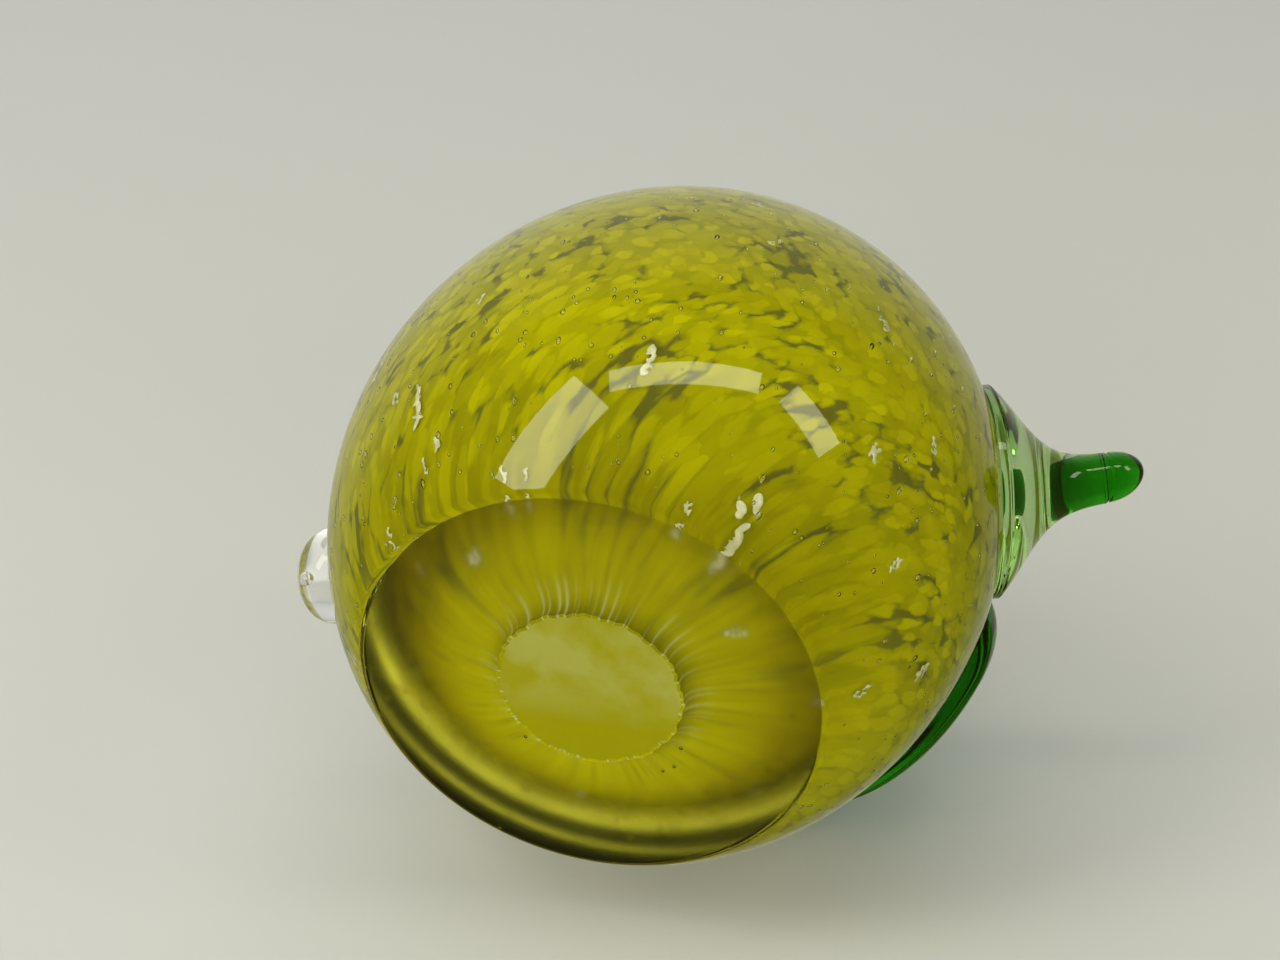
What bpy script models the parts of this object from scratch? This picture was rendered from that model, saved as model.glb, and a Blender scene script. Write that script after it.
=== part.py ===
# A hot-worked glass lemon paperweight, lying on its side as it was set down.
# Metres and degrees, +Z up, stem towards +X, ground base towards -Y and a little down.
# The origin is under the middle of the object, on the surface that it lies on.

import math

import bmesh
import bpy
from mathutils import Matrix, Vector

# Body: the clear outer gather, round at first and then pressed slightly oval
BODY_LONG = 0.0781  # across the long way
BODY_SHORT = 0.0739  # across the short way
BODY_DEPTH = 0.0785  # across, square to both
LONG_TURN = 25.7  # heading of the long way, from +X towards +Y
LONG_RISE = 40.3  # rise of the long way above level

# Ground base, which cuts through all the gathers
BASE_DISTANCE = 0.0288  # from the body's centre to the ground face
BASE_TURN = 15.5  # heading of the face, from -Y towards -X
BASE_DIP = 12.0  # slope of its normal below level
BASE_ARRIS = 0.0005  # softened edge of the ground face

# Yellow layer over the core, drawn in to a fluted neck at the ground base
FRIT_RADIUS = 0.0275
FRIT_THICKNESS = 0.0016
NECK_RADIUS = 0.0106
NECK_FILLET = 0.0040
FLUTE_COUNT = 12
FLUTE_DEPTH = 0.0004
FLUTE_REACH = 0.0080  # how far from the ground face the flutes run

# Stem: clear glass, spread into a foot on the casing and pulled out along a green rod to the rod's head
STEM_TURN = 6.8  # heading, from +X towards +Y
STEM_RISE = 2.9
STEM_HEIGHT = 0.0169  # from the casing to the end of the head
STEM_RADIUS = 0.00295
STEM_LIFT = 0.0009  # how far the end bends up
STEM_LIP = 0.0003  # wall of the clear glass where it ends at the head
FOOT_RADIUS = 0.0126
FOOT_EDGE = 0.0012
FLARE_HEIGHT = 0.0034
FLARE_POWER = 1.34
FLARE_CROWDING = 1.5  # how much closer its rings stand near the foot
HEAD_LENGTH = 0.0039
ROD_START = 0.0045  # from the casing to the rod's inner end
ROD_RADIUS = 0.0015  # near its inner end
ROD_ROUNDING = 0.0008  # length of the rounded inner end

# Blossom tip, a small clear bit opposite the stem
TIP_TURN = 180.1
TIP_RISE = -9.5
TIP_RADIUS = 0.0056
TIP_HEIGHT = 0.0041
TIP_EDGE = 0.0004
TIP_FULLNESS = 0.8  # under 1 is fuller than a ball

# Leaf, a green bit laid over the casing from the stem's foot, with a pressed midrib
LEAF_SWING = 10.0  # how far its line swings to the back from straight down
LEAF_LENGTH = 0.0414
LEAF_WIDTH = 0.0320
LEAF_ROOT = 0.40  # width at the foot, as a share of the full width
LEAF_END = 0.06  # width at the tip, as a share of the full width
LEAF_SWELL = 0.9  # under 1 brings the widest place nearer the foot
LEAF_FULLNESS = 0.8  # under 1 is fuller than a sine
LEAF_BLUNTNESS = 8
LEAF_THICKNESS = 0.0049
LEAF_EDGE = 0.0032  # thickness along the sides
LEAF_EDGE_POWER = 3
LEAF_POINT = 0.0012  # thickness at the tip
LEAF_POINT_POWER = 10
LEAF_LEAN = 0.20  # how much thicker it is on its back side than in the middle
MIDRIB_DEPTH = 0.0014
MIDRIB_WIDTH = 0.0060

# Every piece stays this far from its neighbour
CLEARANCE = 0.0003

# Facets
BODY_SEGMENTS = 48
BODY_RINGS = 22
GATHER_RINGS = 13
FILLET_STEPS = 4
STEM_SEGMENTS = 28
FLARE_RINGS = 13
DOME_RINGS = 5
SEAT_RINGS = 3
LEAF_STEPS = 18
LEAF_COLUMNS = 12

GREEN = (0.010, 0.130, 0.008)
PALE_GREEN = (0.350, 0.500, 0.300)
YELLOW = (0.450, 0.420, 0.004)
CLEAR = (0.850, 0.860, 0.830)
PALE = (0.620, 0.600, 0.250)


def heading(turn, rise):
    turn, rise = math.radians(turn), math.radians(rise)
    return Vector((math.cos(rise) * math.cos(turn), math.cos(rise) * math.sin(turn), math.sin(rise)))


def square_to(axis, towards):
    """Two directions square to the axis, the first as near as can be to the one given."""
    first = (towards - axis * towards.dot(axis)).normalized()
    return first, axis.cross(first)


def outer_product(direction):
    return Matrix([[a * b for b in direction] for a in direction])


UP = Vector((0, 0, 1))
LONG_WAY = heading(LONG_TURN, LONG_RISE)
DEPTH_WAY = Vector((1, 0, 0)).cross(LONG_WAY).normalized()
SHORT_WAY = DEPTH_WAY.cross(LONG_WAY)
ROUND_RADIUS = BODY_DEPTH / 2
PRESS = (
    outer_product(LONG_WAY) * (BODY_LONG / BODY_DEPTH)
    + outer_product(SHORT_WAY) * (BODY_SHORT / BODY_DEPTH)
    + outer_product(DEPTH_WAY)
)
UNPRESS = PRESS.inverted()

BASE_NORMAL = heading(BASE_TURN, BASE_DIP)
BASE_NORMAL = Vector((-BASE_NORMAL.y, -BASE_NORMAL.x, -BASE_NORMAL.z))
# The same plane before pressing: its axis, and its distance along that axis
ROUND_AXIS = (PRESS @ BASE_NORMAL).normalized()
BASE_Z = BASE_DISTANCE / (PRESS @ BASE_NORMAL).length
# Where the clear glass of the stem stops short of the rod's head
LIP_HEIGHT = STEM_HEIGHT - HEAD_LENGTH - CLEARANCE


def on_casing(direction, lift=0.0):
    """The point of the casing's surface in this direction from its centre, raised by lift."""
    direction = direction.normalized()
    return direction * (ROUND_RADIUS / (UNPRESS @ direction).length + lift)


def make_material(name, colour, roughness, transmission):
    material = bpy.data.materials.new(name)
    material.use_nodes = True
    shader = material.node_tree.nodes["Principled BSDF"]
    shader.inputs["Base Color"].default_value = (*colour, 1)
    shader.inputs["Roughness"].default_value = roughness
    shader.inputs["Metallic"].default_value = 0.0
    shader.inputs["Transmission Weight"].default_value = transmission
    material.diffuse_color = (*colour, 1)
    return material


def loft(name, rings, material, sharp_angle=35):
    """A closed skin over rings of points. A ring of one point is a pole, and open ends are filled."""
    mesh = bpy.data.meshes.new(name)
    skin = bmesh.new()
    rows = [[skin.verts.new(point) for point in ring] for ring in rings]
    for low, high in zip(rows, rows[1:]):
        count = max(len(low), len(high))
        for i in range(count):
            j = (i + 1) % count
            corners = [low[i % len(low)], low[j % len(low)], high[j % len(high)], high[i % len(high)]]
            skin.faces.new(list(dict.fromkeys(corners)))
    for end in (rows[0], rows[-1]):
        if len(end) > 1:
            skin.faces.new(end)
    bmesh.ops.recalc_face_normals(skin, faces=skin.faces)
    bmesh.ops.triangulate(skin, faces=skin.faces)
    skin.to_mesh(mesh)
    skin.free()
    mesh.materials.append(material)
    mesh.shade_smooth()
    mesh.set_sharp_from_angle(angle=math.radians(sharp_angle))
    piece = bpy.data.objects.new(name, mesh)
    bpy.context.collection.objects.link(piece)
    return piece


def arc(centre, radius, start, stop, steps):
    """Points (distance from the axis, height) from one polar angle to another."""
    angles = [start + (stop - start) * i / steps for i in range(steps + 1)]
    return [(centre[0] + radius * math.sin(a), centre[1] + radius * math.cos(a)) for a in angles]


def cut_at_base(outline):
    """An outline that comes down from above the ground face, cut off at the face."""
    for (wide, high), (next_wide, next_high) in zip(outline, outline[1:]):
        if next_high < BASE_Z <= high:
            share = (high - BASE_Z) / (high - next_high)
            start = (wide + share * (next_wide - wide), BASE_Z)
            return [start] + [point for point in outline if point[1] < BASE_Z - CLEARANCE]
    return outline


def gather_outline(inset):
    """Half the outline of the yellow gather, moved inwards by inset, from ground face to far pole."""
    centre_wide = NECK_RADIUS + NECK_FILLET
    reach = FRIT_RADIUS + NECK_FILLET
    centre = (centre_wide, math.sqrt(reach**2 - centre_wide**2))
    shoulder = math.asin(centre_wide / reach)
    neck = NECK_RADIUS - inset
    fillet = arc(centre, NECK_FILLET + inset, 1.5 * math.pi, math.pi + shoulder, FILLET_STEPS)
    ball = arc((0, 0), FRIT_RADIUS - inset, shoulder, math.pi, GATHER_RINGS)
    return cut_at_base([(neck, ROUND_RADIUS)] + fillet + ball[1:])


def flute(height, turn):
    nearness = math.exp(-(((BASE_Z - height) / FLUTE_REACH) ** 2))
    return FLUTE_DEPTH * nearness * math.cos(FLUTE_COUNT * turn)


def turned(outline, fluted):
    """Rings of an outline turned about the ground face's axis, then pressed oval."""
    first, second = square_to(ROUND_AXIS, UP)
    rings = []
    for wide, high in outline:
        centre = ROUND_AXIS * high
        if wide < CLEARANCE:
            rings.append([PRESS @ centre])
            continue
        ring = []
        for i in range(BODY_SEGMENTS):
            turn = math.tau * i / BODY_SEGMENTS
            reach = wide + (flute(high, turn) if (wide, high) in fluted else 0)
            ring.append(PRESS @ (centre + (first * math.cos(turn) + second * math.sin(turn)) * reach))
        rings.append(ring)
    return rings


def make_core():
    skin = gather_outline(FRIT_THICKNESS + CLEARANCE)
    rings = turned(skin[::-1] + [(0, BASE_Z)], set(skin))
    return loft("core", rings, make_material("core_glass", PALE, 0.3, 0.3))


def make_yellow_layer():
    outside = gather_outline(0)
    inside = gather_outline(FRIT_THICKNESS)
    rings = turned(outside[::-1] + inside, set(outside + inside))
    return loft("yellow_frit_layer", rings, make_material("yellow_frit", YELLOW, 0.4, 0.0))


def make_casing():
    rim = math.acos((BASE_Z - BASE_ARRIS) / ROUND_RADIUS)
    ball = arc((0, 0), ROUND_RADIUS, math.pi, rim, BODY_RINGS)
    face_edge = (math.sqrt(ROUND_RADIUS**2 - BASE_Z**2) - BASE_ARRIS, BASE_Z)
    cavity = gather_outline(-CLEARANCE)
    rings = turned(ball + [face_edge] + cavity, set(cavity))
    return loft("clear_casing", rings, make_material("clear_glass", CLEAR, 0.05, 0.9))


def bit_rings(axis, outline, bend=0.0):
    """Rings of a bit laid on the casing about an axis, from (radius, height over the casing) pairs."""
    first, second = square_to(axis, UP)
    rings = []
    for radius, height in outline:
        raised = axis * height + first * bend * height**2
        if radius < CLEARANCE:
            rings.append([on_casing(axis, CLEARANCE) + raised])
            continue
        depth = math.sqrt(ROUND_RADIUS**2 - radius**2)
        ring = []
        for i in range(STEM_SEGMENTS):
            turn = math.tau * i / STEM_SEGMENTS
            side = first * math.cos(turn) + second * math.sin(turn)
            ring.append(on_casing(axis * depth + side * radius, CLEARANCE) + raised)
        rings.append(ring)
    return rings


def seat(radius):
    """The underside of a bit, which lies along the casing."""
    return [(radius * i / SEAT_RINGS, 0.0) for i in range(SEAT_RINGS + 1)]


def rod_outline(gap):
    """Half the outline of the rod in the stem, moved outwards by gap, from inner end to lip."""
    outline = []
    for i in range(DOME_RINGS + 1):
        angle = 0.5 * math.pi * i / DOME_RINGS
        depth = (ROD_ROUNDING + gap) * math.cos(angle)
        outline.append(((ROD_RADIUS + gap) * math.sin(angle), ROD_START + ROD_ROUNDING - depth))
    return outline + [(STEM_RADIUS - STEM_LIP - CLEARANCE + gap, LIP_HEIGHT)]


def stem_rings(outline):
    return bit_rings(heading(STEM_TURN, STEM_RISE), outline, STEM_LIFT / STEM_HEIGHT**2)


def make_stem():
    flare = []
    for i in range(FLARE_RINGS):
        rise = (LIP_HEIGHT - FOOT_EDGE) * (i / (FLARE_RINGS - 1)) ** FLARE_CROWDING
        spread = math.exp(-((rise / FLARE_HEIGHT) ** FLARE_POWER))
        flare.append((STEM_RADIUS + (FOOT_RADIUS - STEM_RADIUS) * spread, FOOT_EDGE + rise))
    bore = rod_outline(CLEARANCE)[::-1]
    rings = stem_rings(seat(FOOT_RADIUS) + flare + bore)
    return loft("stem", rings, make_material("stem_glass", PALE_GREEN, 0.05, 0.9), 50)


def make_stem_core():
    shaft = rod_outline(0)
    head_start = STEM_HEIGHT - HEAD_LENGTH
    head = [(shaft[-1][0], head_start)]
    for i in range(DOME_RINGS + 1):
        angle = 0.5 * math.pi * i / DOME_RINGS
        head.append((STEM_RADIUS * math.cos(angle), head_start + HEAD_LENGTH * math.sin(angle)))
    return loft("stem_core", stem_rings(shaft + head), make_material("green_glass", GREEN, 0.05, 0.8), 50)


def make_blossom_tip():
    dome = []
    for i in range(DOME_RINGS + 2):
        angle = 0.5 * math.pi * i / (DOME_RINGS + 1)
        rise = (TIP_HEIGHT - TIP_EDGE) * math.sin(angle)
        dome.append((TIP_RADIUS * math.cos(angle) ** TIP_FULLNESS, TIP_EDGE + rise))
    rings = bit_rings(heading(TIP_TURN, TIP_RISE), seat(TIP_RADIUS) + dome)
    return loft("blossom_tip", rings, make_material("tip_glass", CLEAR, 0.05, 0.9), 50)


def leaf_half_width(along):
    belly = math.sin(math.pi * along**LEAF_SWELL) ** LEAF_FULLNESS if 0 < along < 1 else 0
    share = (LEAF_ROOT + (1 - LEAF_ROOT) * belly) * (1 - along**LEAF_BLUNTNESS)
    return LEAF_WIDTH / 2 * (LEAF_END + (1 - LEAF_END) * share)


def leaf_thickness(along, across):
    """Thickness at a share of the way along and a share of the way across, with the midrib pressed in."""
    full = LEAF_EDGE + (LEAF_THICKNESS - LEAF_EDGE) * (1 - abs(across) ** LEAF_EDGE_POWER)
    rib = MIDRIB_DEPTH * math.exp(-((2 * across * leaf_half_width(along) / MIDRIB_WIDTH) ** 2))
    taper = along**LEAF_POINT_POWER
    return ((full - rib) * (1 - taper) + LEAF_POINT * taper) * (1 + LEAF_LEAN * across)


def make_leaf():
    start = heading(STEM_TURN, STEM_RISE)
    down, back = square_to(start, -UP)
    swing = math.radians(LEAF_SWING)
    run = down * math.cos(swing) + back * math.sin(swing)
    side = start.cross(run)
    first_angle = math.asin((FOOT_RADIUS + CLEARANCE) / ROUND_RADIUS)
    rings = []
    for i in range(LEAF_STEPS + 1):
        along = i / LEAF_STEPS
        angle = first_angle + along * LEAF_LENGTH / ROUND_RADIUS
        middle = start * math.cos(angle) + run * math.sin(angle)
        under, over = [], []
        for j in range(LEAF_COLUMNS + 1):
            across = 2 * j / LEAF_COLUMNS - 1
            reach = across * leaf_half_width(along) / ROUND_RADIUS
            direction = middle * math.cos(reach) + side * math.sin(reach)
            under.append(on_casing(direction, CLEARANCE))
            over.append(on_casing(direction, CLEARANCE + leaf_thickness(along, across)))
        rings.append(under + over[::-1])
    return loft("leaf", rings, make_material("leaf_glass", GREEN, 0.05, 0.8), 50)


def set_down(pieces):
    """Hangs the pieces on an empty at the body's centre, placed so that the origin is under their middle."""
    centre = bpy.data.objects.new("body_centre", None)
    bpy.context.collection.objects.link(centre)
    points = [vertex.co for piece in pieces for vertex in piece.data.vertices]
    lows = [min(point[k] for point in points) for k in range(3)]
    highs = [max(point[k] for point in points) for k in range(3)]
    centre.location = (-(lows[0] + highs[0]) / 2, -(lows[1] + highs[1]) / 2, -lows[2])
    for piece in pieces:
        piece.parent = centre


def main():
    for leftover in list(bpy.data.objects):
        bpy.data.objects.remove(leftover)
    gathers = [make_core(), make_yellow_layer(), make_casing()]
    bits = [make_stem(), make_stem_core(), make_blossom_tip(), make_leaf()]
    set_down(gathers + bits)


main()
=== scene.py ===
import math
import random

import bpy
from mathutils import Matrix, Vector


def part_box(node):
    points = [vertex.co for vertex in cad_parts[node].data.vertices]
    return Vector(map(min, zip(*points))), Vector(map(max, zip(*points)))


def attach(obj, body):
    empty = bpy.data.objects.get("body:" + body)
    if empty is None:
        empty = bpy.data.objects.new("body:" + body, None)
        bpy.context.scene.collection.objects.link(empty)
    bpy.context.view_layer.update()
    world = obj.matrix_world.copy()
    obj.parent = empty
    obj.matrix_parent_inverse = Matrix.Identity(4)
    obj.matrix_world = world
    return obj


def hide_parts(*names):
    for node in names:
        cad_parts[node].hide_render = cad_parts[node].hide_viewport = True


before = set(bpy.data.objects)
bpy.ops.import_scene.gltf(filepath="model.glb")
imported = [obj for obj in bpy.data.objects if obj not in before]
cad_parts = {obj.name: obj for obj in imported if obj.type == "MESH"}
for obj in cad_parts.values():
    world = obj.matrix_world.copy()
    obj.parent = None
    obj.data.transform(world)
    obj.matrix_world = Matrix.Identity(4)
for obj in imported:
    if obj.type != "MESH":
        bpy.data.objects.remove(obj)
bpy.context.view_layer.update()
print("frame loaded")

# the fruit's shape, shared by every piece
fruit = {
    "long": 0.0781, "short": 0.0739, "depth": 0.0785,  # the three widths of the oval
    "longTurn": 25.7, "longRise": 40.3,  # where its long way points
    "baseDistance": 0.0288, "baseTurn": 15.5, "baseDip": 12.0,  # ground base
    "stemTurn": 6.8, "stemRise": 2.9,
    "tipTurn": 180.1, "tipRise": -9.5,
    "skin": 0.00012,  # how far the smooth surface stays inside the faceted one
    "index": 1.5,
}

# the picture is 1280 x 960; middle is where the fruit's centre is seen in it
studio = {
    "imageWidth": 1280, "imageHeight": 960, "middle": (666.0, 525.6),
    "lens": 76.0, "sensor": 36.0, "distance": 0.304, "rise": 27.0, "clipStart": 0.01,
    "floorWidth": 6.0, "floorBack": 0.8, "sweepHeight": 0.55, "sweepRadius": 0.25,
    "sweepSteps": 16, "near": 0.01,  # near is how close an edge lies to the line it is picked by
    "floorColour": (0.60, 0.605, 0.65), "floorRoughness": 0.7, "floorShine": 0.2,
    "backdrop": (0.0, 0.97, 0.10),  # the brighter side of the room
    "dim": (0.14, 0.14, 0.04), "bright": (0.62, 0.62, 0.50), "brightFrom": 0.45,
    "farGrey": (0.21, 0.21, 0.195),  # what the camera sees beyond the floor
    "lampTint": (1.0, 0.98, 0.74),  # of the mirrored panels
}


def heading(turn, rise):
    turn, rise = math.radians(turn), math.radians(rise)
    return Vector((math.cos(rise) * math.cos(turn), math.cos(rise) * math.sin(turn), math.sin(rise)))


def axesAlong(axis, towards):
    first = (towards - axis * towards.dot(axis)).normalized()
    second = axis.cross(first)
    return Matrix((first, second, axis)).transposed()


up = Vector((0, 0, 1))
longWay = heading(fruit["longTurn"], fruit["longRise"])
depthWay = Vector((1, 0, 0)).cross(longWay).normalized()
ovalAxes = Matrix((longWay, depthWay.cross(longWay), depthWay)).transposed()
ovalScale = Matrix.Diagonal((fruit["long"] / fruit["depth"], fruit["short"] / fruit["depth"], 1.0))
press = ovalAxes @ ovalScale @ ovalAxes.transposed()
unpress = press.inverted()
roundRadius = fruit["depth"] / 2

baseOut = heading(fruit["baseTurn"], fruit["baseDip"])
baseOut = Vector((-baseOut.y, -baseOut.x, -baseOut.z))
roundAxis = (press @ baseOut).normalized()
baseHeight = fruit["baseDistance"] / (press @ baseOut).length
baseAxes = axesAlong(roundAxis, up)

# the casing's box gives the fruit's centre: only its front is cut away
low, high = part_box("clear_casing")
backReach = (press @ Vector((0, 1, 0))).length * roundRadius
fruitCentre = Vector(((low.x + high.x) / 2, high.y - backReach, (low.z + high.z) / 2))


def onOval(radius, direction, lift=0.0):
    direction = direction.normalized()
    return fruitCentre + direction * (radius / (unpress @ direction).length + lift)


# small tools for the meshes
meshing = {
    "weld": 0.000004,  # points closer than this are merged
    "crease": 40.0,  # edges that turn more than this stay sharp
}


def pick(piece):
    if bpy.context.object and bpy.context.object.mode != "OBJECT":
        bpy.ops.object.mode_set(mode="OBJECT")
    bpy.ops.object.select_all(action="DESELECT")
    piece.select_set(True)
    bpy.context.view_layer.objects.active = piece
    return piece


def settle(piece, *moves):
    pick(piece)
    for move in moves:
        piece.matrix_world = move
        bpy.ops.object.transform_apply(location=True, rotation=True, scale=True)


def pressOval(piece):
    # from the round gather about +Z to the oval one in its place
    settle(
        piece,
        (ovalAxes.transposed() @ baseAxes).to_4x4(),
        ovalScale.to_4x4(),
        Matrix.Translation(fruitCentre) @ ovalAxes.to_4x4(),
    )


def joinInto(piece, others):
    pick(piece)
    for other in others:
        other.select_set(True)
        if piece.data.materials:
            other.data.materials.append(piece.data.materials[0])
    bpy.ops.object.join()
    return piece


def spun(name, outline, steps):
    # a chain of points (distance from the axis, height) spun about +Z
    bpy.ops.object.select_all(action="DESELECT")
    bpy.ops.mesh.primitive_plane_add(size=0.01, location=(0, 0, 0))
    piece = bpy.context.object
    piece.name = piece.data.name = name
    bpy.ops.object.mode_set(mode="EDIT")
    bpy.ops.mesh.select_mode(type="VERT")
    bpy.ops.mesh.select_all(action="SELECT")
    bpy.ops.mesh.merge(type="CENTER")  # one point starts the chain
    bpy.ops.transform.translate(value=(outline[0][0], 0, outline[0][1]))
    for (wide, high), (nextWide, nextHigh) in zip(outline, outline[1:]):
        step = (nextWide - wide, 0, nextHigh - high)
        bpy.ops.mesh.extrude_vertices_move(TRANSFORM_OT_translate={"value": step})
    bpy.ops.mesh.select_all(action="SELECT")
    bpy.ops.mesh.spin(steps=steps, angle=math.tau, center=(0, 0, 0), axis=(0, 0, 1))
    bpy.ops.mesh.select_all(action="SELECT")
    bpy.ops.mesh.remove_doubles(threshold=meshing["weld"])
    bpy.ops.mesh.normals_make_consistent(inside=False)
    bpy.ops.object.mode_set(mode="OBJECT")
    bpy.ops.object.shade_smooth_by_angle(angle=math.radians(meshing["crease"]))
    return piece


def arc(centre, radius, start, stop, steps):
    angles = [start + (stop - start) * i / steps for i in range(steps + 1)]
    return [(centre[0] + radius * math.sin(a), centre[1] + radius * math.cos(a)) for a in angles]


def dome(wide, start, tall, steps, fullness=1.0):
    # a rounded end, from its widest ring up to the axis
    angles = [0.5 * math.pi * i / steps for i in range(steps + 1)]
    rings = [(wide * max(0.0, math.cos(a)) ** fullness, start + tall * math.sin(a)) for a in angles]
    rings[-1] = (0.0, rings[-1][1])
    return rings


def applyAll(piece):
    pick(piece)
    for modifier in list(piece.modifiers):
        bpy.ops.object.modifier_apply(modifier=modifier.name)


# small tools for the materials
def newMaterial(name):
    material = bpy.data.materials.new(name)
    material.use_nodes = True
    tree = material.node_tree
    return material, tree, tree.nodes["Principled BSDF"]


def node(tree, kind, **values):
    made = tree.nodes.new(kind)
    for key, value in values.items():
        if key in made.inputs:
            made.inputs[key].default_value = value
        else:
            setattr(made, key, value)
    return made


def noiseOn(tree, place, scale, detail=2.0, roughness=0.5):
    made = node(tree, "ShaderNodeTexNoise", Scale=scale, Detail=detail, Roughness=roughness)
    tree.links.new(place, made.inputs["Vector"])
    return made


def vectorMath(tree, operation, first, second):
    made = node(tree, "ShaderNodeVectorMath", operation=operation)
    tree.links.new(first, made.inputs[0])
    if isinstance(second, bpy.types.NodeSocket):
        tree.links.new(second, made.inputs[1])
    else:
        made.inputs[1].default_value = second
    return made.outputs["Vector"]


def ramp(tree, source, *stops):
    made = tree.nodes.new("ShaderNodeValToRGB")
    while len(made.color_ramp.elements) < len(stops):
        made.color_ramp.elements.new(0.5)
    for element, (place, colour) in zip(made.color_ramp.elements, stops):
        element.position = place
        element.color = (*colour, 1) if isinstance(colour, tuple) else (colour, colour, colour, 1)
    tree.links.new(source, made.inputs["Fac"])
    return made.outputs["Color"]


def mixed(tree, amount, first, second, blend="MIX"):
    made = tree.nodes.new("ShaderNodeMix")
    made.data_type = "RGBA"
    made.blend_type = blend
    for socket, value in ((made.inputs[0], amount), (made.inputs[6], first), (made.inputs[7], second)):
        if isinstance(value, bpy.types.NodeSocket):
            tree.links.new(value, socket)
        elif isinstance(value, (int, float)):
            socket.default_value = value
        else:
            socket.default_value = (*value, 1)
    return made.outputs[2]


polish = {"smearScale": 95.0, "smearRoughness": 0.02, "smears": ((0.52, 0.0), (0.75, 1.0))}


def firePolishGroup():
    # the gentle ripple and the faint smears of handled glass
    group = bpy.data.node_groups.new("fire_polish", "ShaderNodeTree")
    for name in ("Ripple Scale", "Ripple Height", "Smear Scale", "Smear Roughness"):
        group.interface.new_socket(name=name, in_out="INPUT", socket_type="NodeSocketFloat")
    group.interface.new_socket(name="Roughness", in_out="OUTPUT", socket_type="NodeSocketFloat")
    group.interface.new_socket(name="Normal", in_out="OUTPUT", socket_type="NodeSocketVector")
    links = group.links
    given = group.nodes.new("NodeGroupInput")
    out = group.nodes.new("NodeGroupOutput")
    place = group.nodes.new("ShaderNodeTexCoord").outputs["Object"]

    ripple = noiseOn(group, place, 1.0)
    links.new(given.outputs["Ripple Scale"], ripple.inputs["Scale"])
    bump = node(group, "ShaderNodeBump", Strength=1.0)
    links.new(given.outputs["Ripple Height"], bump.inputs["Distance"])
    links.new(ripple.outputs["Fac"], bump.inputs["Height"])
    links.new(bump.outputs["Normal"], out.inputs["Normal"])

    smear = noiseOn(group, place, 1.0, detail=3.0)
    links.new(given.outputs["Smear Scale"], smear.inputs["Scale"])
    patches = ramp(group, smear.outputs["Fac"], *polish["smears"])
    amount = node(group, "ShaderNodeMath", operation="MULTIPLY")
    links.new(patches, amount.inputs[0])
    links.new(given.outputs["Smear Roughness"], amount.inputs[1])
    links.new(amount.outputs[0], out.inputs["Roughness"])
    return group


firePolish = firePolishGroup()


def glass(name, rippleScale, rippleHeight, index=fruit["index"]):
    material, tree, shader = newMaterial(name)
    shader.inputs["Base Color"].default_value = (1, 1, 1, 1)
    shader.inputs["Metallic"].default_value = 0.0
    shader.inputs["IOR"].default_value = index
    shader.inputs["Transmission Weight"].default_value = 1.0
    surface = tree.nodes.new("ShaderNodeGroup")
    surface.node_tree = firePolish
    surface.inputs["Ripple Scale"].default_value = rippleScale
    surface.inputs["Ripple Height"].default_value = rippleHeight
    surface.inputs["Smear Scale"].default_value = polish["smearScale"]
    surface.inputs["Smear Roughness"].default_value = polish["smearRoughness"]
    tree.links.new(surface.outputs["Roughness"], shader.inputs["Roughness"])
    tree.links.new(surface.outputs["Normal"], shader.inputs["Normal"])
    return material, tree


def absorb(tree, colour, density):
    # each metre of glass takes away density x (1 - colour)
    volume = node(tree, "ShaderNodeVolumeAbsorption", Density=density)
    volume.inputs["Color"].default_value = (*colour, 1)
    tree.links.new(volume.outputs["Volume"], tree.nodes["Material Output"].inputs["Volume"])


# yellow layer and core
gather = {
    "radius": 0.0275, "skin": 0.0016, "neck": 0.0106, "neckSkin": 0.0004, "fillet": 0.0040,
    "behindBase": 0.00012,  # how far the cut ends lie behind the ground face
    "clearOfCut": 0.0001, "nearAxis": 0.001,
    "flutes": [  # how many run down the neck, their depth, how much and how often their spacing varies
        (12, 0.00012, 1, 3),
        (41, 0.00010, 2, 5),
    ],
    "fluteReach": 0.006,
    "steps": 216, "outerSteps": 104, "innerSteps": 36, "coreSteps": 40, "coreGap": 0.00002,
    "cobbledFrom": 0.8, "cobbledOver": 0.6, "chipSize": 0.0030, "chipRelief": 0.0005, "chipLevel": 0.2,
    "outerShare": 0.3,  # share of the skin that counts as its outer side
    "drawnFrom": 94.0, "fullyDrawn": 44.0, "drawnShare": 0.18,  # where the chips are drawn out to streaks
    "twistFrom": 26.0, "twistTo": 95.0, "twist": 0.7,  # and how the gather was turned meanwhile
}
cutHeight = baseHeight - gather["behindBase"]


def gatherOutline(inset, ballSteps, filletSteps=12):
    centreWide = gather["neck"] + gather["fillet"]
    reach = gather["radius"] + gather["fillet"]
    centre = (centreWide, math.sqrt(reach**2 - centreWide**2))
    shoulder = math.asin(centreWide / reach)
    neckInset = min(inset, gather["neckSkin"])
    outline = [(gather["neck"] - neckInset, cutHeight)]
    for i in range(filletSteps + 1):
        angle = 1.5 * math.pi + (shoulder - 0.5 * math.pi) * i / filletSteps
        radius = gather["fillet"] + neckInset + (inset - neckInset) * i / filletSteps
        outline.append((centre[0] + radius * math.sin(angle), centre[1] + radius * math.cos(angle)))
    outline += arc((0, 0), gather["radius"] - inset, shoulder, math.pi, ballSteps)[1:]
    outline = outline[:1] + [point for point in outline[1:] if point[1] < cutHeight - gather["clearOfCut"]]
    outline[-1] = (0.0, outline[-1][1])
    return outline


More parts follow.
